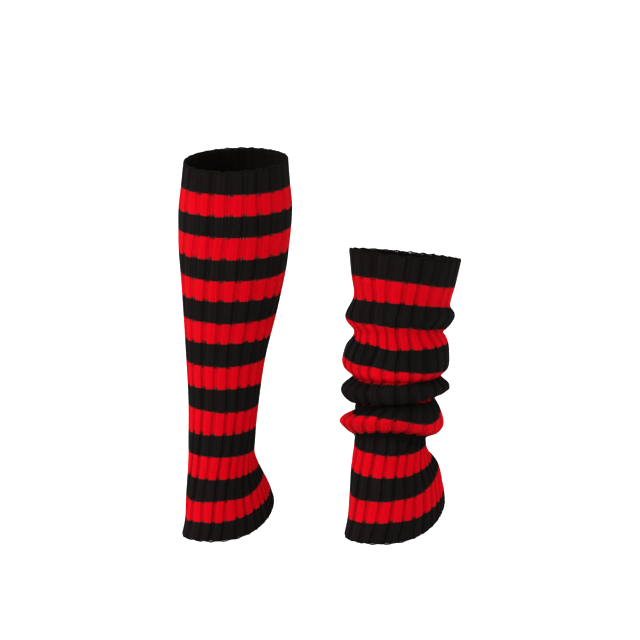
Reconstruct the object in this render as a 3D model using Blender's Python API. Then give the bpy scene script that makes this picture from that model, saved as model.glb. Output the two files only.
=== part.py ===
"""A pair of ribbed knit leg warmers in their worn form, with no wearer.

Each is one knitted tube, open at both ends. One is pulled up smooth over a calf, and the other is pushed
down so that it slouches in bulges and ruffles. +Z is up, and the front is -Y. The origin is the middle of
the pulled-up one's top opening, where a calf holds it. Sizes in the tables are in millimetres.
"""

from collections import namedtuple

import bmesh
import bpy
import numpy as np

MM = 0.001

# The knit: the wall is measured from the middle of the cloth
RIB_COUNT = 24
INSIDE_DEPTH = 1.1
GROOVE_DEPTH = 0.5
RIB_HEIGHT = 1.4
INSIDE_POINTS_A_RIB = 2
# Where a rib's outer points lie across its width, and how far up its height. One of the pulled-up tube's ribs
# is centred on the front, and one of the slouched tube's grooves.
PULLED_UP_RIB = ((0.23, 1.0), (0.5, 0.0), (0.77, 1.0))
SLOUCHED_RIB = ((0.0, 0.0), (0.27, 1.0), (0.73, 1.0))

# The ground colour: the red stripes are a change of yarn, and no change of shape
BLACK_YARN = (0.012, 0.011, 0.011, 1.0)
YARN_ROUGHNESS = 0.9

# A section is one ring of the cloth. Its middle is at x, y, z. reach is its radius at the back, front adds to
# that at the front, and heel lengthens the ring along the line from the toes (-X, -Y) to the heel (+X, +Y).
# lift_x and lift_y tilt the ring up to the right and up to the back, saddle raises it over the toes and the
# heel, and sag lowers it at the left and the right. spans is how many strips of faces lead to the next one.
RING_COLUMNS = ("x", "y", "reach", "front", "heel", "z", "lift_x", "lift_y", "saddle", "sag")
FRONT_POWER = 3
Section = namedtuple("Section", ("name", *RING_COLUMNS, "spans"))

PULLED_UP_SECTIONS = (
    Section("top edge", 0.0, 0.0, 53.6, 0.0, 0.0, 0.0, 2.0, 1.0, 0.0, 0.0, 1),
    Section("below the knee", -0.4, 0.0, 55.7, 0.0, 0.0, -26.0, 2.5, 0.0, 0.0, 0.0, 1),
    Section("calf, fullest", -0.5, -1.0, 58.1, 0.0, 0.0, -50.0, 1.5, 0.0, 0.0, 0.0, 1),
    Section("calf", -1.1, -2.0, 57.8, 0.0, 0.0, -72.0, 2.0, 0.5, 0.0, 0.0, 1),
    Section("calf, lower", -2.2, -3.2, 56.3, 0.0, 0.0, -95.5, 1.3, 0.5, 0.0, 0.0, 1),
    Section("calf, end", -3.2, -4.6, 53.7, 0.0, 0.0, -118.5, 0.8, 0.8, 0.0, 0.0, 1),
    Section("shin, upper", -6.8, -8.0, 46.8, 0.0, 0.0, -164.5, 0.8, 0.0, 0.0, 0.0, 1),
    Section("shin, middle", -11.2, -12.0, 39.6, 0.0, 0.0, -212.0, 1.2, 0.0, 0.0, 0.0, 1),
    Section("shin, lower", -13.2, -14.0, 34.8, 0.0, 0.0, -260.5, 1.0, 1.0, 0.0, 0.0, 1),
    Section("ankle, slimmest", -15.0, -15.0, 33.0, 0.0, 0.5, -300.0, 1.3, 0.8, 0.0, 0.0, 1),
    Section("ankle", -15.4, -14.7, 33.4, 0.0, 1.0, -315.0, 2.0, 1.8, 0.4, 0.0, 1),
    Section("above the heel", -14.6, -13.8, 35.4, 0.0, 2.2, -331.0, 6.0, 5.5, 1.0, 0.0, 1),
    Section("over the heel", -12.4, -12.0, 38.6, 0.0, 4.0, -350.0, 11.5, 9.0, 2.0, 0.0, 1),
    Section("heel", -9.6, -10.0, 42.4, 0.0, 5.8, -370.0, 15.0, 12.0, 4.0, 0.0, 1),
    Section("hem", -8.6, -9.0, 46.4, 0.0, 7.0, -387.0, 15.4, 14.2, 6.0, 0.0, 1),
)

SLOUCHED_SECTIONS = (
    Section("top edge", 179.4, 4.0, 57.6, 0.0, 0.0, -103.0, -5.7, -9.0, 0.0, 0.0, 1),
    Section("calf", 177.3, 2.0, 53.3, 0.0, 0.0, -129.5, -6.0, -9.8, 0.0, 0.0, 1),
    Section("above the first bulge", 175.6, 0.0, 49.0, 0.0, 0.0, -154.0, -4.6, -9.0, 0.0, 0.0, 2),
    Section("first bulge", 173.6, -1.0, 55.6, -1.5, 0.0, -169.5, 0.2, -9.0, 0.0, 0.0, 2),
    Section("first crease", 171.0, -3.0, 43.0, 8.5, 0.0, -184.0, 0.6, -7.0, 0.0, 0.0, 2),
    Section("second bulge, shoulder", 170.2, -4.0, 50.6, 2.5, 0.0, -197.5, 2.7, -5.0, 0.0, 0.0, 1),
    Section("second bulge", 169.1, -5.0, 54.2, 0.0, 0.0, -210.0, 3.5, -5.5, 0.0, 0.0, 1),
    Section("second bulge, foot", 169.0, -6.0, 53.0, 0.0, 0.0, -222.0, -0.8, -4.0, 0.0, 0.0, 2),
    Section("second crease", 170.4, -7.0, 43.0, 1.5, 0.0, -232.0, 0.0, -2.0, 0.0, 0.6, 2),
    Section("ruffle", 168.9, -8.0, 55.3, 0.0, 0.0, -245.5, 1.0, -4.0, 0.0, 1.0, 1),
    Section("ruffle, lip", 169.6, -8.0, 52.4, 0.0, 0.0, -252.6, 2.8, -2.5, 0.0, 0.8, 1),
    Section("ruffle, underside", 169.2, -9.0, 46.0, 0.0, 0.0, -255.8, 2.8, -2.5, 0.0, 0.8, 1),
    Section("tuck, turning up", 169.0, -9.0, 43.2, 0.0, 0.0, -252.2, 2.8, -2.5, 0.0, 0.8, 1),
    Section("tuck, outer layer", 169.0, -9.0, 43.2, 0.0, 0.0, -243.0, 2.6, -2.2, 0.0, 0.8, 2),
    Section("tuck, top", 169.0, -9.0, 40.0, 0.0, 0.0, -237.6, 2.6, -2.2, 0.0, 0.8, 2),
    Section("tuck, inner layer", 169.0, -9.0, 36.9, 0.0, 0.0, -243.0, 2.6, -2.2, 0.0, 0.8, 1),
    Section("tuck, foot", 168.9, -9.5, 37.0, 0.0, 0.0, -253.0, 3.0, -3.0, 0.0, 0.8, 1),
    Section("third crease", 169.6, -10.0, 38.6, 1.5, 0.0, -260.0, 3.2, -3.8, 0.0, 1.0, 1),
    Section("above the rolled ruffle", 171.2, -11.0, 41.8, 3.5, 0.0, -267.0, 1.6, -5.0, 0.0, 1.6, 2),
    Section("rolled ruffle", 165.0, -12.0, 52.6, 1.0, 0.0, -279.0, -1.6, -6.0, 0.0, 3.6, 1),
    Section("rolled ruffle, lip", 165.6, -12.0, 47.6, 0.0, 0.0, -287.6, 0.0, -6.0, 0.0, 4.0, 2),
    Section("fourth crease", 163.8, -14.0, 36.0, 0.0, 0.0, -293.6, 0.0, -5.0, 0.0, 3.0, 1),
    Section("ankle", 163.1, -14.5, 35.6, 0.0, 0.5, -305.0, 0.8, 2.4, 0.0, 1.0, 1),
    Section("above the heel", 164.1, -13.5, 40.0, 0.0, 2.2, -324.0, 6.4, 8.4, 1.0, 0.0, 1),
    Section("over the heel", 168.1, -11.5, 45.0, 0.0, 4.0, -344.5, 12.5, 11.5, 2.0, 0.0, 1),
    Section("heel", 169.4, -10.0, 48.0, 0.0, 5.8, -369.5, 13.6, 11.0, 4.0, 0.0, 1),
    Section("hem", 168.2, -9.5, 50.8, 0.0, 7.0, -389.0, 13.8, 14.6, 6.0, 0.0, 1),
)


def clear_scene():
    for leftover in list(bpy.data.objects):
        bpy.data.objects.remove(leftover)


def knit_material(name):
    """Matt acrylic yarn, seen from far enough off that the stitches blend."""
    material = bpy.data.materials.new(name)
    material.use_nodes = True
    shader = material.node_tree.nodes["Principled BSDF"]
    shader.inputs["Base Color"].default_value = BLACK_YARN
    shader.inputs["Roughness"].default_value = YARN_ROUGHNESS
    shader.inputs["Metallic"].default_value = 0.0
    return material


def sections_between(sections):
    """Every ring of the wall as a row of numbers: the sections, and those on a smooth curve between them.

    The curve is a centripetal Catmull-Rom spline: its knots are as far apart as the square root of the
    distance between neighbours, measured on the profile of reach and height.
    """
    table = np.array([[getattr(section, column) for column in RING_COLUMNS] for section in sections])
    ends = 2 * table[[0, -1]] - table[[1, -2]]
    control = np.vstack([ends[0], table, ends[1]])
    profile = control[:, [RING_COLUMNS.index("reach"), RING_COLUMNS.index("z")]]
    steps = np.linalg.norm(np.diff(profile, axis=0), axis=1)
    knots = np.concatenate([[0.0], np.cumsum(np.sqrt(steps))])
    rings = []
    for i, section in enumerate(sections[:-1]):
        p0, p1, p2, p3 = control[i : i + 4]
        t0, t1, t2, t3 = knots[i : i + 4]
        for step in range(section.spans):
            t = t1 + (t2 - t1) * step / section.spans
            a1 = ((t1 - t) * p0 + (t - t0) * p1) / (t1 - t0)
            a2 = ((t2 - t) * p1 + (t - t1) * p2) / (t2 - t1)
            a3 = ((t3 - t) * p2 + (t - t2) * p3) / (t3 - t2)
            b1 = ((t2 - t) * a1 + (t - t0) * a2) / (t2 - t0)
            b2 = ((t3 - t) * a2 + (t - t1) * a3) / (t3 - t1)
            rings.append(((t2 - t) * b1 + (t - t1) * b2) / (t2 - t1))
    rings.append(table[-1])
    return np.array(rings)


def middle_of_cloth(rings, angles):
    """Points of the cloth's middle, and their outward normals, for each ring and each angle about it.

    A normal is the cross product of the way down the cloth, the mean of the two strips' directions, and the
    way around the ring.
    """
    x, y, reach, front, heel, z, lift_x, lift_y, saddle, sag = (column[:, None] for column in rings.T)
    cos, sin = np.cos(angles), np.sin(angles)
    facing = (1 - sin) / 2
    reach = reach + front * facing**FRONT_POWER
    widening = -front * FRONT_POWER * facing ** (FRONT_POWER - 1) * cos / 2
    points = np.stack(
        [
            x + reach * cos + heel * sin,
            y + reach * sin + heel * cos,
            z + lift_x * cos + lift_y * sin + saddle * np.sin(2 * angles) - sag * np.cos(2 * angles),
        ],
        axis=-1,
    )
    around = np.stack(
        [
            widening * cos - reach * sin + heel * cos,
            widening * sin + reach * cos - heel * sin,
            -lift_x * sin + lift_y * cos + 2 * saddle * np.cos(2 * angles) + 2 * sag * np.sin(2 * angles),
        ],
        axis=-1,
    )
    down = np.gradient(points, axis=0)
    steps = np.linalg.norm(np.diff(points, axis=0), axis=-1, keepdims=True)
    chords = np.diff(points, axis=0) / steps
    down[1:-1] = chords[:-1] + chords[1:]
    normals = np.cross(down, around)
    return points, normals / np.linalg.norm(normals, axis=-1, keepdims=True)


def outer_rings(rings, rib):
    """The ribbed outside: a rib's points stand off the cloth's middle as far as its profile says."""
    across, heights = np.array(rib).T
    angles = 2 * np.pi * (np.arange(RIB_COUNT)[:, None] + across).ravel() / RIB_COUNT
    depths = GROOVE_DEPTH + RIB_HEIGHT * np.tile(heights, RIB_COUNT)
    points, normals = middle_of_cloth(rings, angles)
    return angles, points + normals * depths[None, :, None]


def inner_rings(rings):
    """The plain inside."""
    count = RIB_COUNT * INSIDE_POINTS_A_RIB
    angles = 2 * np.pi * np.arange(count) / count
    points, normals = middle_of_cloth(rings, angles)
    return angles, points - normals * INSIDE_DEPTH


def strip_faces(upper, lower, outward):
    """Quads between two rings of the same count."""
    count = len(upper)
    for i in range(count):
        j = (i + 1) % count
        quad = (upper[i], lower[i], lower[j], upper[j])
        yield quad if outward else quad[::-1]


def rim_faces(outer, outer_angles, inner, inner_angles, facing_up):
    """Triangles between an outer and an inner ring of different counts, in the order of their angles."""
    i = j = 0
    while i < len(outer) or j < len(inner):
        outer_next = outer_angles[i + 1] if i + 1 < len(outer) else 2 * np.pi
        inner_next = inner_angles[j + 1] if j + 1 < len(inner) else 2 * np.pi
        here, there = outer[i % len(outer)], inner[j % len(inner)]
        if j >= len(inner) or (i < len(outer) and outer_next <= inner_next):
            i += 1
            triangle = (here, outer[i % len(outer)], there)
        else:
            j += 1
            triangle = (here, inner[j % len(inner)], there)
        yield triangle if facing_up else triangle[::-1]


def knit_tube(name, sections, rib, collection):
    """One leg warmer: a closed wall, ribbed outside and plain inside, open at both ends."""
    rings = sections_between(sections)
    outer_angles, outer_points = outer_rings(rings, rib)
    inner_angles, inner_points = inner_rings(rings)
    shape = bmesh.new()
    outer = [[shape.verts.new(point * MM) for point in ring] for ring in outer_points]
    inner = [[shape.verts.new(point * MM) for point in ring] for ring in inner_points]
    for upper, lower in zip(outer[:-1], outer[1:]):
        for quad in strip_faces(upper, lower, outward=True):
            shape.faces.new(quad)
    for upper, lower in zip(inner[:-1], inner[1:]):
        for quad in strip_faces(upper, lower, outward=False):
            shape.faces.new(quad)
    for triangle in rim_faces(outer[0], outer_angles, inner[0], inner_angles, facing_up=True):
        shape.faces.new(triangle)
    for triangle in rim_faces(outer[-1], outer_angles, inner[-1], inner_angles, facing_up=False):
        shape.faces.new(triangle)
    mesh = bpy.data.meshes.new(name)
    shape.to_mesh(mesh)
    shape.free()
    mesh.shade_smooth()
    mesh.materials.append(knit_material(name + "_rib_knit"))
    collection.objects.link(bpy.data.objects.new(name, mesh))


def main():
    clear_scene()
    pair = bpy.data.collections.new("pair of leg warmers")
    bpy.context.scene.collection.children.link(pair)
    knit_tube("pulled_up_leg_warmer", PULLED_UP_SECTIONS, PULLED_UP_RIB, pair)
    knit_tube("slouched_leg_warmer", SLOUCHED_SECTIONS, SLOUCHED_RIB, pair)


main()
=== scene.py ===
from math import cos, pi, radians, sin

import bpy
import numpy as np
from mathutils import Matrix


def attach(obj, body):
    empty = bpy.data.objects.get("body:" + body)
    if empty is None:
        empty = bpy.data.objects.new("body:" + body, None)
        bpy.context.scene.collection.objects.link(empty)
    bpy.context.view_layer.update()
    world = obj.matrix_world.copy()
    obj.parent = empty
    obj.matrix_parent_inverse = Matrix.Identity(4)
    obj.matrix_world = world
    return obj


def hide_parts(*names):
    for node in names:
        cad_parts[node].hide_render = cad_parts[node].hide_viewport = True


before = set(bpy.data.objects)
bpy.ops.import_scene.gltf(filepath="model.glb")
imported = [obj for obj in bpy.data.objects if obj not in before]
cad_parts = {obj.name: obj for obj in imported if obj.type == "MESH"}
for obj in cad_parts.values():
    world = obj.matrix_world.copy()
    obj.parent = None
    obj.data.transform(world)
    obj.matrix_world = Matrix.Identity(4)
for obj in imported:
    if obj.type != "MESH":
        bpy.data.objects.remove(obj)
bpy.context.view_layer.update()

mm = 0.001

# The pair of leg warmers: two striped tubes of wide rib. Lengths in the tables are millimetres, as knitted
# cloth is measured, and turn into metres where a mesh is made.

cloth = {
    "ribs": 24,  # round the tube
    "knitWales": 3,  # columns of knit stitches that stand up in each rib
    "purlWales": 3,  # columns of purl stitches that lie back beside them
    "stripes": 17,  # black first and last
    "courses": 11,  # rows of stitches in a stripe
    "inside": 1.1,  # from the middle of the cloth to its plain side
    "behindRibs": 0.25,  # how much thicker the cloth is behind a raised rib
    "groove": 0.5,  # from the middle of the cloth to the bottom of a groove
    "knitRelief": 0.3,  # how far a knit wale rounds up
    "purlRelief": 0.15,  # the same on a purl wale
    "fuller": 0.9,  # how far the knit lies outside the frame's cloth
    "wander": 0.16,  # how far a rib strays, in ribs
    "ringsDown": 144,
    "ringsAtBends": 3.0,  # how much closer rings stand where the cloth bends
    "pointsAKnitWale": 4,
    "pointsAPurlWale": 3,
    "innerEvery": 3,  # the plain side has every third column of points
    # The form of a rib: how sharp a flat rib's edges are, the powers of a round rib and of the hollow beside
    # it, and the power of a single wale
    "edgeSharp": 1.3,
    "roundPowers": (0.6, 1.4),
    "walePower": 0.8,
    # Waves that make the ribs uneven, a row each: how far, how often across and down, and where they start
    "strayWaves": [(0.5, 3, 0.55, 0), (0.3, 7, -0.9, 1), (0.2, 10, 1.7, 2)],
    "widthWaves": [(0.05, 2.4, 0.5, 0), (0.04, 5.1, -0.8, 0)],
    "grooveShadeWaves": [(0.25, 2.1, 0.3, 0), (0.15, 4.3, -0.7, 0)],
    # How much painted shade or painted highlight each part of a rib gets, then its middle and half width in
    # wales
    "grooveShade": 0.4,
    "shadowLine": (0.6, 3.5, 0.75),  # along the right of a raised rib
    "leftHighlight": (0.12, 0.4, 0.5),
    "rightHighlight": (0.07, 2.6, 0.4),
    # Shade painted into the folds and onto cloth that faces down
    "coneHeight": 14,  # how far above and below the cone reaches
    "coneSlope": 0.35,
    "deepest": 9,  # how far under the cone the cloth is darkest
    "foldShade": 0.75,
    "foldPower": 2.2,
    "downShade": 0.1,  # on cloth that faces down
    "downFrom": 0.2,  # how far it has to face down before it darkens
    "darkest": 0.9,
}
walesARib = cloth["knitWales"] + cloth["purlWales"]


def bell(x, middle, halfWidth):
    # 1 at the middle and falling off to both sides as exp(-x squared)
    return np.exp(-((x - middle) / halfWidth) ** 2)


def waves(table, across, down):
    # A sum of sines over both directions, one for each row of the table
    return sum(far * np.sin(a * across + d * down + start) for far, a, d, start in table)


# A ring of the cloth is kept as its middle (x, y, z), its radius at the back (reach), what the front adds to
# that (front), what the heel adds on the line from toes to heel (heel), its tilts (liftX, liftY), and how
# much it rises over toes and heel (saddle) and hangs at the sides (sag).
ringColumns = ["x", "y", "reach", "front", "heel", "z", "liftX", "liftY", "saddle", "sag"]

pulledUp = {
    "node": "pulled_up_leg_warmer",
    "firstRib": 0.5,  # a rib is centred on the front
    "knitted": (0.07, 13.95),  # first and last ring of the knitting, between the bound-off edges
    "rings": np.array([
        (0.0, 0.0, 53.6, 0, 0.0, -0.6, 2.0, 2.0, 0.0, 0),  # top edge
        (-0.4, 0.0, 55.7, 0, 0.0, -26.0, 2.5, 0.0, 0.0, 0),
        (-0.5, -1.0, 58.1, 0, 0.0, -50.0, 1.5, 0.0, 0.0, 0),  # calf
        (-1.1, -2.0, 57.8, 0, 0.0, -72.0, 2.0, 0.5, 0.0, 0),
        (-2.2, -3.2, 56.3, 0, 0.0, -95.5, 1.3, 0.5, 0.0, 0),
        (-2.9, -4.6, 54.0, 0, 0.0, -118.5, 0.8, 0.8, 0.0, 0),
        (-6.3, -8.0, 47.3, 0, 0.0, -164.5, 0.8, 0.0, 0.0, 0),  # shin
        (-10.9, -12.0, 39.9, 0, 0.0, -212.0, 1.2, 0.0, 0.0, 0),
        (-13.2, -14.0, 34.8, 0, 0.0, -260.5, 1.0, 1.0, 0.0, 0),
        (-15.0, -15.0, 32.8, 0, 0.5, -300.0, 1.3, 0.8, 0.0, 0),  # ankle
        (-15.2, -14.7, 32.8, 0, 1.0, -315.4, 1.6, 1.8, 0.4, 0),
        (-14.4, -13.8, 34.8, 0, 2.2, -332.6, 4.6, 5.3, 1.0, 0),
        (-12.1, -12.0, 38.2, 0, 4.0, -352.0, 9.6, 8.4, 2.0, 0),
        (-9.2, -10.0, 42.0, 0, 5.8, -372.0, 12.9, 11.2, 3.6, 0),  # heel
        (-8.3, -9.0, 46.2, 0, 7.0, -389.2, 12.9, 13.2, 5.0, 0),  # hem
    ]),
    # Where each stripe's lower edge lies, in rings from the top: at the left, front left, front, front
    # right, right and back
    "edges": np.array([
        (0.0, 0.0, 0.0, 0.0, 0.0, 0.0),
        (1.03, 1.03, 1.09, 1.14, 1.13, 1.05),
        (2.05, 2.03, 2.02, 2.03, 2.05, 2.05),
        (3.0, 2.98, 3.04, 3.06, 3.02, 3.0),
        (4.05, 4.05, 4.05, 4.05, 4.05, 4.05),
        (5.0, 5.04, 5.04, 5.03, 4.97, 5.0),
        (5.55, 5.54, 5.53, 5.53, 5.53, 5.54),
        (6.03, 6.04, 6.05, 6.03, 5.98, 6.02),
        (6.52, 6.51, 6.51, 6.5, 6.48, 6.51),
        (7.0, 7.04, 7.05, 7.03, 7.0, 7.0),
        (7.53, 7.52, 7.53, 7.52, 7.54, 7.52),
        (8.0, 8.03, 8.07, 8.07, 8.03, 8.0),
        (8.65, 8.64, 8.65, 8.63, 8.57, 8.63),
        (9.64, 9.7, 9.74, 9.76, 9.74, 9.7),
        (10.88, 10.94, 10.95, 11.0, 11.13, 11.02),
        (11.86, 11.98, 11.98, 12.14, 12.02, 12.0),
        (12.94, 12.9, 12.96, 12.98, 13.08, 13.02),
        (14.0, 14.0, 14.0, 14.0, 14.0, 14.0),
    ]),
    # Ring, share of each rib that stands up, how far it stands up, how much wider than the mean ribs get,
    # the angle where they are widest, how many degrees they have turned in front, how round they are (0
    # flat, 1 round), and how much painted shade lies in the grooves between them
    "ribLook": np.array([
        (0.0, 0.52, 1.0, 0.14, 270, 0.5, 0.1, 0.3),
        (3.0, 0.5, 1.0, 0.18, 255, 1.0, 0.1, 0.3),
        (6.0, 0.54, 1.2, 0.36, 228, -3.0, 0.3, 0.42),
        (8.0, 0.6, 1.5, 0.38, 230, -4.0, 0.5, 0.5),
        (10.3, 0.64, 1.8, 0.44, 213, -11.0, 0.6, 0.58),
        (12.2, 0.62, 1.6, 0.44, 218, -20.0, 0.6, 0.54),
        (14.0, 0.6, 1.3, 0.42, 218, -24.0, 0.5, 0.5),
    ]),
    # Angle round the tube (0 right, 90 back, 270 front), ring, half width in degrees, half height in rings,
    # slope in rings a quarter turn, depth (a ridge is negative), rise, degrees that it turns the ribs, and
    # how much painted shade the cloth gets there (painted light where negative)
    "folds": np.array([
        (225, 10.6, 40, 0.7, 0.5, 0.8, 0, 0, 0),
        (300, 11.4, 30, 0.6, -0.9, 0.8, 0, 0, 0),
        (350, 10.2, 34, 0.7, -0.6, 1.0, 0, 0, 0),
        (80, 10.2, 45, 0.6, 0.5, 1.3, 0, 0, 0),
        (130, 11.5, 38, 0.6, -0.4, 1.2, 0, 0, 0),
        (60, 12.4, 30, 0.6, 0.4, 1.0, 0, 0, 0),
        (240, 5.2, 34, 0.9, 0.3, 0.5, 0, 0, 0),
        (320, 6.2, 38, 1.0, -0.4, 0.5, 0, 0, 0),
        (60, 5.3, 45, 1.0, 0.5, 0.7, 0, 0, 0),
        (150, 7.2, 40, 0.8, -0.5, 0.7, 0, 0, 0),
    ]),
}

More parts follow.
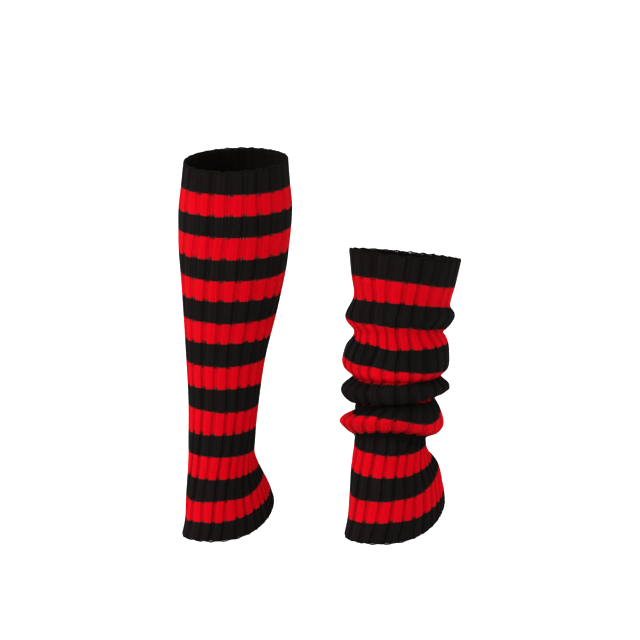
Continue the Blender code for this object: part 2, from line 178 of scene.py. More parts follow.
slouched = {
    "node": "slouched_leg_warmer",
    "firstRib": 0.0,  # a groove is centred on the front
    "knitted": (0.07, 25.95),
    "rings": np.array([
        (179.4, 4.0, 57.6, 0, 0.0, -103.0, -5.7, -9.0, 0.0, 0.0),  # top edge
        (177.3, 2.0, 53.3, 0, 0.0, -129.5, -6.0, -9.8, 0.0, 0.0),
        (175.6, 0.0, 49.0, 0, 0.0, -154.0, -4.6, -9.0, 0.0, 0.0),
        (173.6, -1.0, 55.6, -1.5, 0.0, -169.5, 0.2, -9.0, 0.0, 0.0),  # first bulge
        (171.0, -3.0, 43.0, 8.5, 0.0, -184.0, 0.6, -7.0, 0.0, 0.0),  # first crease
        (170.2, -4.0, 50.6, 2.5, 0.0, -197.5, 2.7, -5.0, 0.0, 0.0),
        (169.3, -5.0, 54.0, 0, 0.0, -210.0, 3.5, -5.5, 0.0, 0.0),  # second bulge
        (169.2, -6.0, 53.0, 0, 0.0, -222.0, -0.8, -4.0, 0.0, 0.0),
        (170.4, -7.0, 43.0, 1.5, 0.0, -232.0, 0.0, -2.0, 0.0, 0.6),  # second crease
        (168.9, -8.0, 55.0, 0, 0.0, -245.0, 1.4, -4.0, 0.0, 0.5),  # ruffle
        (169.6, -8.0, 52.0, 0, 0.0, -251.0, 4.0, -2.5, 0.0, -0.7),
        (169.2, -9.0, 46.0, 0, 0.0, -254.0, 4.2, -2.5, 0.0, -0.8),
        (169.0, -9.0, 43.2, 0, 0.0, -250.6, 4.0, -2.5, 0.0, -0.6),  # tuck under it
        (169.0, -9.0, 43.2, 0, 0.0, -242.4, 3.0, -2.2, 0.0, 0.2),
        (169.0, -9.0, 40.0, 0, 0.0, -237.4, 2.6, -2.2, 0.0, 0.6),
        (169.0, -9.0, 36.9, 0, 0.0, -243.0, 2.6, -2.2, 0.0, 0.8),
        (168.9, -9.5, 37.0, 0, 0.0, -253.0, 3.0, -3.0, 0.0, 0.8),
        (169.6, -10.0, 38.6, 1.5, 0.0, -260.0, 3.2, -3.8, 0.0, 1.0),  # third crease
        (171.2, -11.0, 41.8, 3.5, 0.0, -267.0, 1.6, -5.0, 0.0, 1.6),
        (165.0, -12.0, 52.6, 1.0, 0.0, -278.6, -2.0, -6.0, 0.0, 3.4),  # rolled ruffle
        (165.6, -12.0, 47.2, 0, 0.0, -286.6, -1.8, -6.0, 0.0, 3.2),
        (163.8, -14.0, 36.0, 0, 0.0, -293.2, -0.8, -5.0, 0.0, 2.6),  # fourth crease
        (163.1, -14.5, 35.6, 0, 0.5, -305.4, 0.6, 2.4, 0.0, 1.0),
        (163.5, -13.5, 39.4, 0, 2.2, -325.2, 5.0, 8.2, 1.0, 0.0),
        (167.7, -11.5, 44.6, 0, 4.0, -346.2, 11.0, 11.2, 2.0, 0.0),
        (169.4, -10.0, 48.0, 0, 5.8, -370.3, 12.8, 11.0, 3.8, 0.0),  # heel
        (168.2, -9.5, 50.8, 0, 7.0, -389.6, 13.4, 14.8, 5.4, 0.0),  # hem
    ]),
    "edges": np.array([
        (0.0, 0.0, 0.0, 0.0, 0.0, 0.0),
        (1.07, 1.1, 1.12, 1.17, 1.14, 1.07),
        (2.1, 2.11, 2.09, 2.16, 2.25, 2.2),
        (3.05, 3.38, 3.63, 3.84, 3.8, 3.5),
        (4.22, 4.76, 5.2, 5.35, 5.3, 4.9),
        (5.72, 6.52, 6.97, 7.16, 7.2, 6.5),
        (8.03, 8.4, 8.48, 8.17, 8.0, 8.1),
        (11.1, 11.2, 11.3, 11.2, 11.1, 11.2),
        (12.6, 12.6, 12.6, 12.6, 12.6, 12.6),
        (14.4, 14.4, 14.4, 14.4, 14.4, 14.4),
        (16.75, 17.15, 16.8, 17.35, 16.9, 16.6),
        (18.25, 18.7, 18.95, 19.15, 18.1, 18.3),
        (20.5, 20.8, 20.9, 20.8, 20.5, 20.6),
        (21.93, 22.08, 22.17, 22.16, 22.0, 22.0),
        (22.93, 23.0, 23.05, 23.15, 23.25, 23.2),
        (23.93, 23.99, 24.07, 24.17, 23.98, 24.05),
        (24.98, 25.0, 25.02, 25.1, 25.1, 25.1),
        (26.0, 26.0, 26.0, 26.0, 26.0, 26.0),
    ]),
    "ribLook": np.array([
        (0.0, 0.56, 1.0, 0.18, 240, 3.0, 0.2, 0.35),
        (1.5, 0.57, 1.15, 0.22, 247, 0.4, 0.3, 0.42),
        (3.0, 0.61, 1.5, 0.06, 255, -1.2, 0.45, 0.54),
        (4.0, 0.62, 1.7, -0.15, 270, 0.0, 0.55, 0.6),
        (5.2, 0.64, 1.8, 0.0, 270, 3.0, 0.6, 0.62),
        (7.0, 0.62, 1.7, 0.05, 270, 2.0, 0.6, 0.6),
        (9.0, 0.6, 1.8, 0.05, 270, 0.0, 0.7, 0.6),
        (12.0, 0.6, 1.3, 0.05, 270, 0.0, 0.8, 0.7),
        (17.0, 0.6, 1.4, 0.1, 260, 2.0, 0.7, 0.7),
        (19.0, 0.6, 1.4, 0.15, 250, 4.0, 0.6, 0.5),
        (21.0, 0.64, 1.6, 0.35, 228, -3.0, 0.6, 0.6),
        (22.5, 0.64, 1.7, 0.42, 220, -5.5, 0.6, 0.58),
        (24.4, 0.64, 1.7, 0.42, 212, -15.5, 0.6, 0.55),
        (26.0, 0.6, 1.4, 0.4, 212, -20.0, 0.5, 0.5),
    ]),
    "folds": np.array([
        (215, 2.6, 26, 0.45, 0.4, 1.3, 0, 0, 0),
        (180, 4.5, 26, 0.5, 0.3, 2.4, 0, 0, 0),
        (355, 3.7, 24, 0.5, 0.0, -3.6, -1.2, 0, 0),
        (300, 4.3, 30, 0.5, -0.5, 1.6, 0, 0, 0),
        (245, 3.3, 26, 0.4, -0.6, -1.2, 0, 0, 0),
        (222, 5.5, 34, 0.45, 0.8, -1.6, 0, 0, 0),
        (287, 5.9, 28, 0.45, -0.6, 1.6, 0, 0, 0),
        (240, 7.1, 26, 0.5, 0.4, 1.3, 0, 0, 0),
        (325, 6.6, 24, 0.5, 0.5, -1.2, 0, 0, 0),
        (215, 5.2, 46, 1.3, 0.0, 0, 0, 7, 0),
        (60, 3.0, 36, 0.5, 0.8, 2.0, 0, 0, 0),
        (120, 2.6, 30, 0.45, -0.9, 1.8, 0, 0, 0),
        (95, 4.9, 36, 0.5, 0.6, -1.8, 0, 0, 0),
        (140, 5.8, 30, 0.5, -0.6, 2.0, 0, 0, 0),
        (40, 6.4, 30, 0.5, 0.5, 1.8, 0, 0, 0),
        (90, 5.0, 60, 1.5, 0.0, 0, 0, -6, 0),
        (258, 8.25, 50, 0.35, 0.0, 0, 0, 0, 0.6),
        (254, 7.5, 54, 0.38, 0.0, -3.8, -1.0, 0, -0.2),
        (90, 8.05, 70, 0.42, 0.0, 0, 0, 0, 0.5),
        (212, 9.1, 16, 0.5, 0.0, -1.0, 0, 0, 0),
        (300, 9.0, 20, 0.5, 0.0, 1.2, 0, 0, 0),
        (75, 9.0, 26, 0.5, 0.0, 1.6, 0, 0, 0),
        (130, 9.1, 22, 0.5, 0.0, -1.2, 0, 0, 0),
        (180, 17.2, 26, 0.75, 0.0, -2.2, 0, 0, 0),
        (208, 19.0, 16, 0.6, 0.2, -1.0, 0, 0, 0),
        (240, 19.0, 14, 0.6, -0.2, 1.2, 0, 0, 0),
        (283, 19.1, 18, 0.6, 0.2, -1.0, 0, 0, 0),
        (318, 19.0, 14, 0.6, -0.3, 1.2, 0, 0, 0),
        (325, 20.2, 40, 0.8, 0.0, 0, 0, 9, 0),
        (50, 19.0, 20, 0.6, 0.2, 1.4, 0, 0, 0),
        (100, 19.1, 22, 0.6, -0.2, -1.2, 0, 0, 0),
        (145, 19.0, 18, 0.6, 0.2, 1.4, 0, 0, 0),
        (225, 22.6, 34, 0.6, 0.4, 0.9, 0, 0, 0),
        (300, 23.0, 34, 0.6, -0.5, 0.9, 0, 0, 0),
        (70, 22.8, 40, 0.6, 0.5, 1.3, 0, 0, 0),
        (150, 23.6, 40, 0.6, -0.5, 1.1, 0, 0, 0),
        (260, 24.6, 40, 0.6, 0.4, 0.7, 0, 0, 0),
        (20, 24.8, 30, 0.5, -0.4, 0.8, 0, 0, 0),
    ]),
}


def splineAt(table, at):
    # Centripetal Catmull-Rom through the table's rows, read at fractional row numbers. Knots stand apart by
    # the square root of the distance between rows on the profile of reach and height, as in the frame.
    ends = 2 * table[[0, -1]] - table[[1, -2]]
    rows = np.vstack([ends[0], table, ends[1]])
    profile = rows[:, [ringColumns.index("reach"), ringColumns.index("z")]]
    knots = np.concatenate([[0.0], np.cumsum(np.sqrt(np.linalg.norm(np.diff(profile, axis=0), axis=1)))])
    i = np.clip(np.floor(at).astype(int), 0, len(table) - 2)
    p0, p1, p2, p3 = (rows[i + k] for k in range(4))
    t0, t1, t2, t3 = (knots[i + k][:, None] for k in range(4))
    t = t1 + (t2 - t1) * (at - i)[:, None]
    a1 = ((t1 - t) * p0 + (t - t0) * p1) / (t1 - t0)
    a2 = ((t2 - t) * p1 + (t - t1) * p2) / (t2 - t1)
    a3 = ((t3 - t) * p2 + (t - t2) * p3) / (t3 - t2)
    b1 = ((t2 - t) * a1 + (t - t0) * a2) / (t2 - t0)
    b2 = ((t3 - t) * a2 + (t - t1) * a3) / (t3 - t1)
    return ((t2 - t) * b1 + (t - t1) * b2) / (t2 - t1)


edgeAngles = np.radians([180, 235, 270, 308, 360, 450])  # left, front left, front, front right, right, back


def aroundAt(values, angle):
    # Smooth steps between the six values kept for six angles round the tube
    turned = (angle - pi) % (2 * pi) + pi
    stops = np.append(edgeAngles, pi * 3)
    held = np.append(values, values[0])
    i = np.clip(np.searchsorted(stops, turned, side="right") - 1, 0, len(stops) - 2)
    share = (turned - stops[i]) / (stops[i + 1] - stops[i])
    share = (1 - np.cos(pi * share)) / 2
    return held[i] * (1 - share) + held[i + 1] * share


def stripesAt(tube, at, angle):
    # How many stripes of cloth lie above a point: each stripe runs evenly from its upper edge to its lower
    edges = [aroundAt(row, angle) for row in tube["edges"]]
    return sum(np.clip((at - top) / (low - top), 0, 1) for top, low in zip(edges[:-1], edges[1:]))


def foldAt(tube, at, angle):
    # Soft folds, listed in the tube's table: each a bell across its width and its height, on a sloping line.
    # Gives how deep they press in, how far they rise, how far they turn the ribs and how much they darken.
    pushes = np.zeros((4, *np.broadcast_shapes(at.shape, angle.shape)))
    for degrees, ring, halfWidth, halfHeight, slope, *push in tube["folds"]:
        off = (angle - radians(degrees) + pi) % (2 * pi) - pi
        across = off / radians(halfWidth)
        down = (at - ring - slope * off / (pi / 2)) / halfHeight
        pushes += np.array(push)[:, None, None] * np.exp(-across**2 - down**2)
    return pushes


frontPower = 3


def middleAt(tube, at, angle):
    # The middle of the cloth: a tilted ring whose radius grows towards the front and the heel
    columns = splineAt(tube["rings"], at).T[:, :, None]
    x, y, reach, front, heel, z, liftX, liftY, saddle, sag = columns
    sine, cosine = np.sin(angle), np.cos(angle)
    deep, rise = foldAt(tube, at[:, None], angle)[:2]
    radius = reach + front * ((1 - sine) / 2) ** frontPower - deep
    return np.stack([
        x + radius * cosine + heel * sine,
        y + radius * sine + heel * cosine,
        z + rise + liftX * cosine + liftY * sine + saddle * np.sin(2 * angle) - sag * np.cos(2 * angle),
    ], axis=-1)


def outwardAt(tube, at, angle):
    # The cloth's outward normal, from small steps down the cloth and round it
    stepDown, stepRound = 0.02, 0.01
    last = len(tube["rings"]) - 1
    above, below = np.maximum(at - stepDown, 0), np.minimum(at + stepDown, last)
    down = middleAt(tube, below, angle) - middleAt(tube, above, angle)
    around = middleAt(tube, at, angle + stepRound) - middleAt(tube, at, angle - stepRound)
    normal = np.cross(down, around)
    return normal / np.linalg.norm(normal, axis=-1, keepdims=True)


def ringPlaces(tube, count):
    # Rings at even steps of cloth, closer together where the profile bends sharply
    samples = 4000
    fine = np.linspace(0, len(tube["rings"]) - 1, samples)
    profile = splineAt(tube["rings"], fine)[:, [ringColumns.index("reach"), ringColumns.index("z")]]
    step = np.diff(profile, axis=0)
    length = np.linalg.norm(step, axis=1)
    heading = np.unwrap(np.arctan2(step[:, 1], step[:, 0]))
    bend = np.abs(np.gradient(heading))
    weight = length + cloth["ringsAtBends"] * bend
    total = np.concatenate([[0], np.cumsum(weight)])
    first, last = np.interp(tube["knitted"], fine, total)
    return np.interp(np.linspace(first, last, count), total, fine)


# A rib's columns of points, counted in wales from the start of its knit half
knitSteps, purlSteps = cloth["pointsAKnitWale"], cloth["pointsAPurlWale"]
knitMarks = np.arange(cloth["knitWales"] * knitSteps) / knitSteps
purlMarks = cloth["knitWales"] + np.arange(cloth["purlWales"] * purlSteps) / purlSteps
waleMarks = np.concatenate([knitMarks, purlMarks])
perRib = len(waleMarks)


def ribGrid(tube, at):
    # For each ring and column: its angle, its place in ribs, how far the rib stands up there (0 to 1), the
    # rounding of the single wales (0 to 1), and its tone, which is painted shade and painted highlight
    ribs, knit, purl = cloth["ribs"], cloth["knitWales"], cloth["purlWales"]
    wales = np.tile(waleMarks, ribs)
    rib = np.repeat(np.arange(ribs), perRib)
    ring = at[:, None]
    share, stand, wider, widest, turned, roundness, groove = (
        np.interp(at, tube["ribLook"][:, 0], tube["ribLook"][:, k])[:, None] for k in range(1, 8)
    )
    share = share * (1 + waves(cloth["widthWaves"], rib, ring))
    onKnit = wales < knit
    onRib = 0.5 + share * (wales / knit - 0.5)
    betweenRibs = 1 + (1 - share) * ((wales - knit) / purl - 0.5)
    place = (rib + np.where(onKnit, onRib, betweenRibs) + tube["firstRib"]) / ribs
    stray = waves(cloth["strayWaves"], 2 * pi * place, ring)
    widest = np.radians(widest)
    angle = 2 * pi * (place + cloth["wander"] * stray / ribs) + np.radians(turned)
    angle = angle + wider * (np.sin(2 * pi * place - widest) + np.cos(widest))
    angle = angle + np.radians(foldAt(tube, ring, angle)[2])
    # Wales from the rib's edge, above 0 on the rib and below 0 between ribs
    fromEdge = np.where(
        onKnit,
        knit / 2 - np.abs(wales - knit / 2),
        np.abs(wales - knit - purl / 2) - purl / 2,
    )
    flat = np.clip(0.5 + fromEdge * cloth["edgeSharp"], 0, 1)
    flat = flat**2 * (3 - 2 * flat)
    dome = (0.5 + fromEdge / np.where(onKnit, knit, purl)) ** np.where(onKnit, *cloth["roundPowers"])
    raised = flat * (1 - roundness) + dome * roundness
    relief = np.sin(pi * (wales % 1)) ** cloth["walePower"] * np.ones_like(share)
    # Tone, all painted light: painted shade in a groove with a painted shadow line right of each raised
    # rib, and a painted highlight along both its sides
    groove = groove * (1 + waves(cloth["grooveShadeWaves"], rib, ring))
    line, left, right = (
        far * bell(wales, middle, halfWidth)
        for far, middle, halfWidth in (cloth["shadowLine"], cloth["leftHighlight"], cloth["rightHighlight"])
    )
    tone = 1 - groove * (cloth["grooveShade"] * np.clip(0.5 - fromEdge, 0, 1) + line) + left + right
    return {
        "angle": angle, "ribPlace": (rib + wales / (knit + purl)) * np.ones_like(share), "raised": raised,
        "relief": relief, "stand": stand, "tone": tone,
    }


def shadeIn(points, outward):
    # Painted shade in the folds (0 to 1). A blunt cone rolls over each column of points, and what it
    # can't touch lies that deep and is painted darker. Cloth that faces down gets painted shade too.
    centre = points[..., :2].mean(axis=1, keepdims=True)
    reach = np.linalg.norm(points[..., :2] - centre, axis=-1)
    height = points[..., 2]
    deep = np.zeros_like(reach)
    for row in range(len(reach)):
        away = np.abs(height - height[row])
        cone = np.where(away < cloth["coneHeight"], reach - cloth["coneSlope"] * away, 0)
        deep[row] = np.clip((cone.max(axis=0) - reach[row]) / cloth["deepest"], 0, 1)
    facingDown = np.clip(-outward[..., 2] - cloth["downFrom"], 0, 1)
    paintedShade = cloth["foldShade"] * deep ** cloth["foldPower"] + cloth["downShade"] * facingDown
    return np.clip(paintedShade, 0, cloth["darkest"])


def knitTube(tube):
    # Outer wall: middle plus outward times (groove + rib + stitch relief). Inner wall: every third column, a
    # plain wall a little thicker behind the ribs.
    at = ringPlaces(tube, cloth["ringsDown"])
    knit = ribGrid(tube, at)
    angle, raised = knit["angle"], knit["raised"]
    outward = outwardAt(tube, at, angle)
    middle = middleAt(tube, at, angle) + outward * cloth["fuller"]
    fine = cloth["purlRelief"] + (cloth["knitRelief"] - cloth["purlRelief"]) * raised
    height = cloth["groove"] + (knit["stand"] - cloth["knitRelief"]) * raised + fine * knit["relief"]
    every = cloth["innerEvery"]
    thickness = cloth["inside"] + cloth["behindRibs"] * raised
    # Painted shade from the cone over the folds and from the folds table darkens the tone
    paintedFoldShade = foldAt(tube, at[:, None], angle)[3]
    knit["tone"] = knit["tone"] * (1 - shadeIn(middle, outward)) * (1 - paintedFoldShade)
    knit.update({
        "outer": middle + outward * height[..., None],
        "inner": (middle - outward * thickness[..., None])[:, ::every],
        "every": every,
        "middle": middle,
        "outward": outward,
        "stripes": stripesAt(tube, at[:, None], angle),
    })
    return knit


def gridFaces(rows, columns, start, flip):
    # Quads of a tube of rows by columns whose first point is number start
    r, c = np.meshgrid(np.arange(rows - 1), np.arange(columns), indexing="ij")
    following = (c + 1) % columns
    above, below = r * columns, (r + 1) * columns
    quads = np.stack([above + c, below + c, below + following, above + following], -1)
    quads = quads.reshape(-1, 4) + start
    return quads[:, ::-1] if flip else quads


def rimFaces(outerStart, outerCount, innerStart, every, flip):
    # Triangles from an outer ring to an inner ring that has one point for every few outer ones
    innerCount = outerCount // every
    k = np.arange(outerCount)
    fans = np.stack([outerStart + k, outerStart + (k + 1) % outerCount, innerStart + k // every], -1)
    j = np.arange(innerCount)
    following = (j + 1) % innerCount
    gaps = np.stack([innerStart + j, outerStart + following * every, innerStart + following], -1)
    triangles = np.vstack([fans, gaps])
    return triangles[:, ::-1] if flip else triangles


def meshFrom(name, points, faceSets):
    # faceSets are arrays of vertex numbers, one for each count of corners
    mesh = bpy.data.meshes.new(name)
    corners = np.concatenate([f.ravel() for f in faceSets]).astype(np.int32)
    sizes = np.concatenate([np.full(len(f), f.shape[1]) for f in faceSets])
    mesh.vertices.add(len(points))
    mesh.vertices.foreach_set("co", (points * mm).astype(np.float32).ravel())
    mesh.loops.add(len(corners))
    mesh.loops.foreach_set("vertex_index", corners)
    mesh.polygons.add(len(sizes))
    mesh.polygons.foreach_set("loop_start", np.concatenate([[0], np.cumsum(sizes)[:-1]]).astype(np.int32))
    mesh.update(calc_edges=True)
    mesh.validate()
    mesh.shade_smooth()
    piece = bpy.data.objects.new(name, mesh)
    bpy.context.scene.collection.objects.link(piece)
    return piece, corners


def pointAttribute(piece, name, values):
    layer = piece.data.attributes.new(name, "FLOAT", "POINT")
    layer.data.foreach_set("value", values.astype(np.float32).ravel())


def mapOf(piece, name, uv):
    layer = piece.data.uv_layers.new(name=name)
    layer.uv.foreach_set("vector", uv.astype(np.float32).ravel())


def makeTube(tube):
    knit = knitTube(tube)
    rows, columns = knit["outer"].shape[:2]
    every = knit["every"]
    innerColumns = columns // every
    points = np.vstack([knit["outer"].reshape(-1, 3), knit["inner"].reshape(-1, 3)])
    innerStart = rows * columns
    quads = np.vstack([
        gridFaces(rows, columns, 0, flip=False),
        gridFaces(rows, innerColumns, innerStart, flip=True),
    ])
    rims = np.vstack([
        rimFaces(0, columns, innerStart, every, flip=False),
        rimFaces((rows - 1) * columns, columns, innerStart + (rows - 1) * innerColumns, every, flip=True),
    ])
    piece, corners = meshFrom(tube["node"] + "_knit", points, [quads, rims])

    def both(outer, inner):
        # Values of the outer wall's points and then of the inner wall's
        return np.concatenate([outer.ravel(), inner[:, ::every].ravel()])

    # On the inside the purl columns stand up
    pointAttribute(piece, "raised", both(knit["raised"], 1 - knit["raised"]))
    pointAttribute(piece, "relief", both(knit["relief"], knit["relief"]))
    # The tone is painted light: shade in the grooves and folds, and highlights along the ribs
    pointAttribute(piece, "tone", both(knit["tone"], knit["tone"]))
    # The knit map counts ribs round and stripes down. The seam's last corners take the full count of ribs.
    ribPlace, stripes = (both(knit[key], knit[key]) for key in ("ribPlace", "stripes"))
    across = ribPlace[corners]
    faceStarts = np.concatenate([np.arange(len(quads)) * 4, len(quads) * 4 + np.arange(len(rims)) * 3])
    sizes = np.concatenate([np.full(len(quads), 4), np.full(len(rims), 3)])
    widest = np.repeat(np.maximum.reduceat(across, faceStarts), sizes)
    across = np.where(widest - across > cloth["ribs"] / 2, across + cloth["ribs"], across)
    mapOf(piece, "knit", np.stack([across, stripes[corners]], -1))
    # The bake's map lays the outer wall above the inner one
    inside = corners >= innerStart
    down = np.linspace(0, 1, rows)[:, None] * np.ones((1, columns))
    down = both(down, down)[corners]
    share, gap = 0.7, 0.01
    up = np.where(inside, (1 - share - gap) * down, 1 - share + share * down)
    mapOf(piece, "OFBake", np.stack([across / cloth["ribs"], up], -1))
    piece.data.uv_layers.active = piece.data.uv_layers["knit"]
    print("knit tube", tube["node"], "triangles", len(quads) * 2 + len(rims))
    return piece, knit


# A bound-off edge is two strands along the rim. One arches over each wale and leaves an eyelet under it, and
# one runs over the arches as a chain. Each is a tube round a path: rim + up * rise + out * sway.
boundOff = {
    "strand": 0.74,  # its radius
    "inset": 0.4,  # where the rim lies from the outer wall (0) to the inner one (1)
    "arch": 0.7,  # how far an arch stands above the rim
    "eyelet": 1.6,  # the same above an eyelet that stays open
    "eyeletHalf": 0.5,  # in wales
    "sway": 0.35,  # how far the chain runs to and fro
    "bob": 0.15,  # how far it runs up and down
    "archPower": 0.6,  # below 1 for full arches
    "uneven": [(0.2, 0.9), (0.16, 2.3)],  # waves along the edge: share and radians a wale
    "scallops": [(0.25, 1), (0.3, 2)],  # how far and how many a rib
    "sides": 6,
    "stepsAWale": 7,
}


def boundOffEdge(name, knit, row):
    ribs = cloth["ribs"]
    wales = ribs * walesARib
    turn = np.arange(wales * boundOff["stepsAWale"]) / (wales * boundOff["stepsAWale"])
    ribPlace = np.append(knit["ribPlace"][row], ribs + knit["ribPlace"][row, 0])

    def roundRim(values):
        # A ring of points read at even steps of wales
        closed = np.vstack([values, values[:1]])
        return np.stack([np.interp(turn * ribs, ribPlace, closed[:, k]) for k in range(3)], -1)

    inner = np.repeat(knit["inner"][row], knit["every"], axis=0)
    inset = boundOff["inset"]
    rim = roundRim((1 - inset) * knit["outer"][row] + inset * inner)
    out = roundRim(knit["outward"][row])
    nextRow = 1 if row == 0 else row - 1
    up = roundRim(knit["middle"][row] - knit["middle"][nextRow])
    up /= np.linalg.norm(up, axis=-1, keepdims=True)
    wale = turn * wales
    # One eyelet a rib stays open, in the middle of its purl wales
    purlMiddle = cloth["knitWales"] + cloth["purlWales"] / 2
    opened = bell(wale % walesARib, purlMiddle, boundOff["eyeletHalf"])
    uneven = 1 + sum(share * np.sin(often * wale) for share, often in boundOff["uneven"])
    scallops = sum(far * np.cos(2 * pi * often * turn * ribs) for far, often in boundOff["scallops"])
    reach = boundOff["arch"] + (boundOff["eyelet"] - boundOff["arch"]) * opened
    reach = reach * uneven + scallops
    arch = (reach * np.abs(np.sin(pi * wale)) ** boundOff["archPower"], 0 * wale)
    chain = (reach + boundOff["bob"] * np.cos(2 * pi * wale), boundOff["sway"] * np.sin(2 * pi * wale))
    points, faces = [], []
    steps, sides = len(turn), boundOff["sides"]
    spin = 2 * pi * np.arange(sides) / sides
    for strand, (rise, sway) in enumerate((arch, chain)):
        path = rim + up * rise[:, None] + out * sway[:, None]
        along = np.roll(path, -1, axis=0) - np.roll(path, 1, axis=0)
        along /= np.linalg.norm(along, axis=-1, keepdims=True)
        second = np.cross(along, out)
        second /= np.linalg.norm(second, axis=-1, keepdims=True)
        first = np.cross(second, along)
        ring = path[:, None] + boundOff["strand"] * (
            first[:, None] * np.cos(spin)[None, :, None] + second[:, None] * np.sin(spin)[None, :, None]
        )
        a, b = np.meshgrid(np.arange(steps), np.arange(sides), indexing="ij")
        nextA, nextB = (a + 1) % steps, (b + 1) % sides
        quads = np.stack([a * sides + b, nextA * sides + b, nextA * sides + nextB, a * sides + nextB], -1)
        points.append(ring.reshape(-1, 3))
        faces.append(quads.reshape(-1, 4) + strand * steps * sides)
    return meshFrom(name, np.vstack(points), [np.vstack(faces)])[0]


class Flow:
    # A socket whose arithmetic adds Math nodes
    def __init__(self, shader, socket):
        self.shader, self.socket = shader, socket

    def mathWith(self, operation, other=None, swapped=False):
        values = [self] if other is None else [other, self] if swapped else [self, other]
        return self.shader.add("ShaderNodeMath", {"operation": operation}, values)

    def __add__(self, other):
        return self.mathWith("ADD", other)

    def __radd__(self, other):
        return self.mathWith("ADD", other, True)

    def __sub__(self, other):
        return self.mathWith("SUBTRACT", other)

    def __rsub__(self, other):
        return self.mathWith("SUBTRACT", other, True)

    def __mul__(self, other):
        return self.mathWith("MULTIPLY", other)

    def __rmul__(self, other):
        return self.mathWith("MULTIPLY", other, True)

    def __truediv__(self, other):
        return self.mathWith("DIVIDE", other)

    def __pow__(self, other):
        return self.mathWith("POWER", other)

    def under(self, other):
        return self.mathWith("LESS_THAN", other)

    def most(self, other):
        return self.mathWith("MAXIMUM", other)

    def least(self, other):
        return self.mathWith("MINIMUM", other)

    def pingPong(self, other):
        return self.mathWith("PINGPONG", other)

    def frac(self):
        return self.mathWith("FRACT")

    def floor(self):
        return self.mathWith("FLOOR")

    def abs(self):
        return self.mathWith("ABSOLUTE")

    def sine(self):
        return self.mathWith("SINE")

    def step(self, low, high):
        # 0 below low and 1 above high, smooth between
        return self.shader.add(
            "ShaderNodeMapRange", {"interpolation_type": "SMOOTHSTEP"}, [self, low, high, 0.0, 1.0]
        )

    def near(self, centre, halfWidth):
        # 1 at centre and 0 from halfWidth away
        return 1 - ((self - centre).abs() / halfWidth).least(1.0)


class Shader:
    def __init__(self, name):
        self.material = bpy.data.materials.new(name)
        self.material.use_nodes = True
        self.tree = self.material.node_tree
        self.surface = self.tree.nodes["Principled BSDF"]

    def add(self, kind, settings=None, values=(), output=0):
        node = self.tree.nodes.new(kind)
        for key, value in (settings or {}).items():
            setattr(node, key, value)
        named = values.items() if isinstance(values, dict) else enumerate(values)
        for key, value in named:
            self.put(node.inputs[key], value)
        return Flow(self, node.outputs[output])

    def put(self, socket, value):
        if isinstance(value, Flow):
            self.tree.links.new(value.socket, socket)
        elif value is not None:
            socket.default_value = value

    def mix(self, factor, first, second):
        # Colours mixed by factor. A Mix node's colours are its sockets 6, 7 and 2 out.
        node = self.add("ShaderNodeMix", {"data_type": "RGBA"}, {"Factor": factor}, output=2)
        sockets = node.socket.node.inputs
        self.put(sockets[6], first)
        self.put(sockets[7], second)
        return node

    def noise(self, scale, detail=2.0):
        # A soft noise over the object's own place
        place = self.add("ShaderNodeTexCoord", output=3)
        return self.add(
            "ShaderNodeTexNoise", {"noise_dimensions": "3D"},
            {"Vector": place, "Scale": scale, "Detail": detail},
        )

    def random(self, x, y):
        # A random value for each pair of whole numbers
        cell = self.add("ShaderNodeCombineXYZ", {}, [x, y, 0.0])
        return self.add("ShaderNodeTexWhiteNoise", {"noise_dimensions": "3D"}, {"Vector": cell})

    def attribute(self, name):
        return self.add("ShaderNodeAttribute", {"attribute_name": name}, output=2)

    def finish(self, **sockets):
        for key, value in sockets.items():
            self.put(self.surface.inputs[key.replace("_", " ")], value)
        return self.material


yarn = {
    # A lit red and a red in painted shade; a black and a black in painted highlight
    "red": (0.43, 0.0001, 0.0045, 1),
    "redInShade": (0.08, 0.0, 0.0001, 1),
    "black": (0.0023, 0.0017, 0.0015, 1),
    "blackHighlight": (0.0072, 0.0058, 0.0054, 1),
    "glint": (0.19, 0.035, 0.042, 1),  # loops that catch light where both yarns meet in a purl stretch
    "roughness": 0.95,
    "shine": 0.03,
    "bumpDepth": 0.0006,
    "bumpStrength": 0.5,
    "blotchScale": 38.0,
    "patchScale": 170.0,
    # Stitches: how steeply legs run, how far arcs rise, and how flat a strand's top is
    "legSlope": 0.6,
    "arcRise": 0.45,
    "strandTop": 2.5,
    "hollowFrom": (0.25, 0.9),  # how far down from a rib's top the purl look begins and is full
    # The plies of the bound-off yarn, with a painted highlight where a ply stands up
    "plyScale": 900.0,
    "plySteps": (0.35, 0.7),
    "plyStrength": 0.4,
    "plyDepth": 0.0003,
    # A stripe's edge, in stripes
    "followsLegs": 0.03,
    "strays": 0.05,
    "laterInPurl": 0.012,
    "dashes": 0.07,
    "patches": 0.12,
    # Where the red begins, from 0 in the middle of a black stripe to 1 in the middle of a red one
    "onKnit": (0.485, 0.515),
    "inPurl": [(0.46, 0.52, 0.16), (0.55, 0.61, 0.84)],  # in two steps, with the share of red that each adds
    "glintAt": (0.53, 0.045),
    "glintInWale": (0.5, 0.4),
    "glintPatches": (0.44, 0.62),
    # How much the tone changes: at random by stitch, blotch and streak, and by painted shade between the
    # strands
    "byStitch": 0.12,
    "byBlotch": 0.3,
    "shadeByStrand": 0.1,
    "byStreak": 0.1,
    "redTone": (0.85, 0.15, -0.1),  # with the cloth's tone, with its relief, and to begin with
    "blackTone": (0.7, 0.15, -0.4),
    "blackStreaks": 0.5,
}


def mattYarn(m, colour, height, strength, depth):
    # Matt yarn of a colour, with a bump of that height
    bump = m.add("ShaderNodeBump", {}, {"Strength": strength, "Distance": depth, "Height": height})
    return m.finish(
        Base_Color=colour, Roughness=yarn["roughness"], Specular_IOR_Level=yarn["shine"], Normal=bump
    )


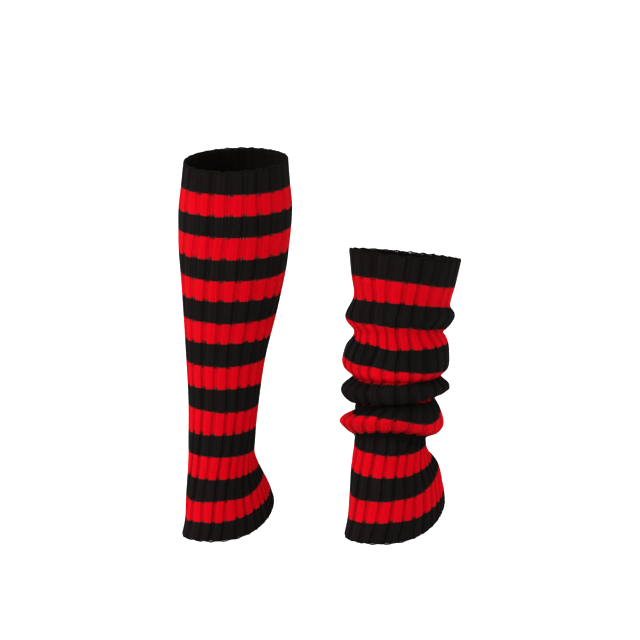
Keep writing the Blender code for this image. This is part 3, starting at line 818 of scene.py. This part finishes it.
def knitMaterial():
    m = Shader("striped rib knit")
    knit = m.add("ShaderNodeUVMap", {"uv_map": "knit"})
    ribs = m.add("ShaderNodeSeparateXYZ", {}, [knit])
    stripes = m.add("ShaderNodeSeparateXYZ", {}, [knit], output=1)
    raised, relief, tone = m.attribute("raised"), m.attribute("relief"), m.attribute("tone")
    blotch = m.noise(yarn["blotchScale"])
    patchy = m.noise(yarn["patchScale"], detail=1.0)
    wales = ribs * walesARib
    courses = stripes * cloth["courses"]
    onKnit = ribs.frac().under(cloth["knitWales"] / walesARib)
    inWale = wales.frac()
    fromMiddle = (inWale * 2 - 1).abs()
    # A knit stitch is two legs that meet low in the middle of the wale. A purl one is an arc.
    legs = (courses + fromMiddle * yarn["legSlope"]).frac()
    arcs = (courses + (inWale * pi).sine() * yarn["arcRise"]).frac()
    strand = onKnit * legs + (1 - onKnit) * arcs
    strandHeight = 1 - (strand * 2 - 1).abs() ** yarn["strandTop"]
    hollow = (1 - raised).step(*yarn["hollowFrom"])
    # A stripe's edge follows the legs of its stitches. At the rims no other colour starts.
    edge = stripes + onKnit * (fromMiddle - 0.5) * yarn["followsLegs"] + (blotch - 0.5) * yarn["strays"]
    edge = (edge + hollow * yarn["laterInPurl"]).most(0.1).least(cloth["stripes"] - 0.1)
    # 0 at the middle of a black stripe and 1 at the middle of a red one
    towardsRed = (edge + 1.5).pingPong(1.0)
    # In the purl stretches loops of both yarns show, over two rows at each change of colour, so the red
    # starts later there and broken by the wales
    dash = (inWale.near(0.5, 0.5) - 0.5) * yarn["dashes"] + (patchy - 0.5) * yarn["patches"]
    softly = sum((towardsRed + dash).step(low, high) * share for low, high, share in yarn["inPurl"])
    redness = hollow * softly + (1 - hollow) * towardsRed.step(*yarn["onKnit"])
    glints = hollow * tone * towardsRed.near(*yarn["glintAt"]) * inWale.near(*yarn["glintInWale"])
    glints = glints * patchy.step(*yarn["glintPatches"])
    # Tone: painted shade deeper in the grooves and between the legs, with a little random change from
    # stitch to stitch, and some wales a little lighter down their whole length
    speckle = m.random(wales.floor(), courses.floor())
    streaks = (m.random(wales.floor(), 0.0) - 0.5) * relief
    grain = (speckle - 0.5) * yarn["byStitch"] + (blotch - 0.5) * yarn["byBlotch"]
    grain = grain + strandHeight * yarn["shadeByStrand"] + streaks * yarn["byStreak"]
    # Painted light: the red goes from its shaded copy to its lit one by the tone's painted shade and
    # highlights, a painted highlight on the wales' crests (relief) and random grain
    withTone, withRelief, start = yarn["redTone"]
    lit = tone * withTone + relief * withRelief + start + grain
    red = m.mix(lit.most(0.0).least(1.2), yarn["redInShade"], yarn["red"])
    # The same painted shade and highlight on the black, with random grain and random lighter wales
    withTone, withRelief, start = yarn["blackTone"]
    blackLit = tone * withTone + relief * raised * withRelief + start + grain + streaks * yarn["blackStreaks"]
    black = m.mix(blackLit.most(0.0).least(1.0), yarn["black"], yarn["blackHighlight"])
    colour = m.mix(redness, black, red)
    colour = m.mix(glints, colour, yarn["glint"])
    return mattYarn(m, colour, strandHeight, yarn["bumpStrength"], yarn["bumpDepth"])


def edgeMaterial():
    m = Shader("bound-off black yarn")
    ply = m.noise(yarn["plyScale"])
    # Painted highlight: the black turns to its highlight copy where the ply's bump stands up
    colour = m.mix(ply.step(*yarn["plySteps"]), yarn["black"], yarn["blackHighlight"])
    return mattYarn(m, colour, ply, yarn["plyStrength"], yarn["plyDepth"])


def dress(tube, knitCloth, edgeCloth):
    piece, knit = makeTube(tube)
    piece.data.materials.append(knitCloth)
    edges = []
    for place, row in (("top", 0), ("hem", -1)):
        row = row % knit["outer"].shape[0]
        edge = boundOffEdge(tube["node"] + "_bound_off_" + place, knit, row)
        edge.data.materials.append(edgeCloth)
        edges.append(edge)
    for each in [piece, *edges]:
        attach(each, "root")
    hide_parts(tube["node"])
    print("dressed", tube["node"])


studio = {
    "elevation": 12.0,
    "distance": 20.0,  # a long lens, so that the upper edges are seen at the same slant as the hems
    "frameWidth": 0.678,  # what the picture's width shows at the pair
    "target": (0.089, -0.006, -0.1732),
    "floor": -0.508,
    "floorHalf": 12.0,
    "paper": ((0.95, 0.95, 0.95, 1), (0.97, 0.97, 0.97, 1)),
    "paperScale": 300.0,
    "world": 1.19,
    # Each lamp: strength, degrees from straight ahead (left is negative), degrees up, how soft, and whether
    # one leg warmer shades the other from it
    "lamps": {
        "key": (1.94, -58.0, 28.0, 30.0, True),
        "rim": (1.26, -90.0, 34.0, 30.0, False),
        "fill": (0.84, 75.0, 20.0, 40.0, True),
    },
}


def makeStudio():
    scene = bpy.context.scene
    scene.view_settings.view_transform = "Standard"
    world = bpy.data.worlds.new("white studio")
    world.use_nodes = True
    world.node_tree.nodes["Background"].inputs["Color"].default_value = (1, 1, 1, 1)
    world.node_tree.nodes["Background"].inputs["Strength"].default_value = studio["world"]
    scene.world = world
    for name, (strength, turn, rise, spread, shades) in studio["lamps"].items():
        sun = bpy.data.lights.new(name, "SUN")
        sun.energy, sun.angle, sun.use_shadow = strength, radians(spread), shades
        lamp = bpy.data.objects.new(name, sun)
        scene.collection.objects.link(lamp)
        lamp.rotation_euler = (radians(90 - rise), 0, radians(turn))
    floor = bpy.data.meshes.new("floor")
    half, low = studio["floorHalf"], studio["floor"]
    square = [(-half, -half, low), (half, -half, low), (half, half, low), (-half, half, low)]
    floor.from_pydata(square, [], [(0, 1, 2, 3)])
    ground = bpy.data.objects.new("floor", floor)
    scene.collection.objects.link(ground)
    paint = Shader("white paper")
    tone = paint.mix(paint.noise(studio["paperScale"]), *studio["paper"])
    floor.materials.append(paint.finish(Base_Color=tone, Roughness=0.9, Specular_IOR_Level=0.1))
    lens = bpy.data.cameras.new("camera")
    lens.angle = 2 * np.arctan(studio["frameWidth"] / 2 / studio["distance"])
    lens.clip_end = 100
    camera = bpy.data.objects.new("camera", lens)
    scene.collection.objects.link(camera)
    up = radians(studio["elevation"])
    camera.location = np.array(studio["target"]) + studio["distance"] * np.array([0, -cos(up), sin(up)])
    camera.rotation_euler = (pi / 2 - up, 0, 0)
    scene.camera = camera
    print("studio ready")


makeStudio()
knitCloth = knitMaterial()
edgeCloth = edgeMaterial()
dress(pulledUp, knitCloth, edgeCloth)
dress(slouched, knitCloth, edgeCloth)
